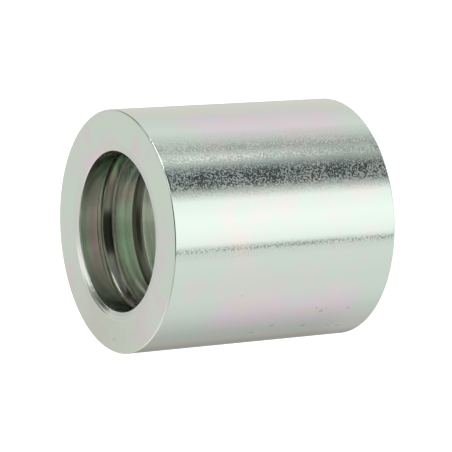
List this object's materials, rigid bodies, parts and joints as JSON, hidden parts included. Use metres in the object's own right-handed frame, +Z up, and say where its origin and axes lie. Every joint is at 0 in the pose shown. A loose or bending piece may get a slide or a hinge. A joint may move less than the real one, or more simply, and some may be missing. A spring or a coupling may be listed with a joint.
{
  "type": "crimp hose ferrule",
  "caption": "Plain turned steel sleeve, grooved inside, that is squeezed round a braided hose to clamp it on its hose tail.",
  "frame": {"origin": "centre of the flat collar end, on the surface that the ferrule stands on", "axes": "+Z up along the ferrule's axis, from the collar end to the mouth that takes the hose"},
  "size_m": [0.027, 0.027, 0.028],
  "materials": {
    "zinc_plated_steel": "bright zinc plating with a clear passivation that shines faintly green and pink"
  },
  "bodies": {
    "root": {"crimp_ferrule": "zinc_plated_steel"}
  },
  "joints": []
}
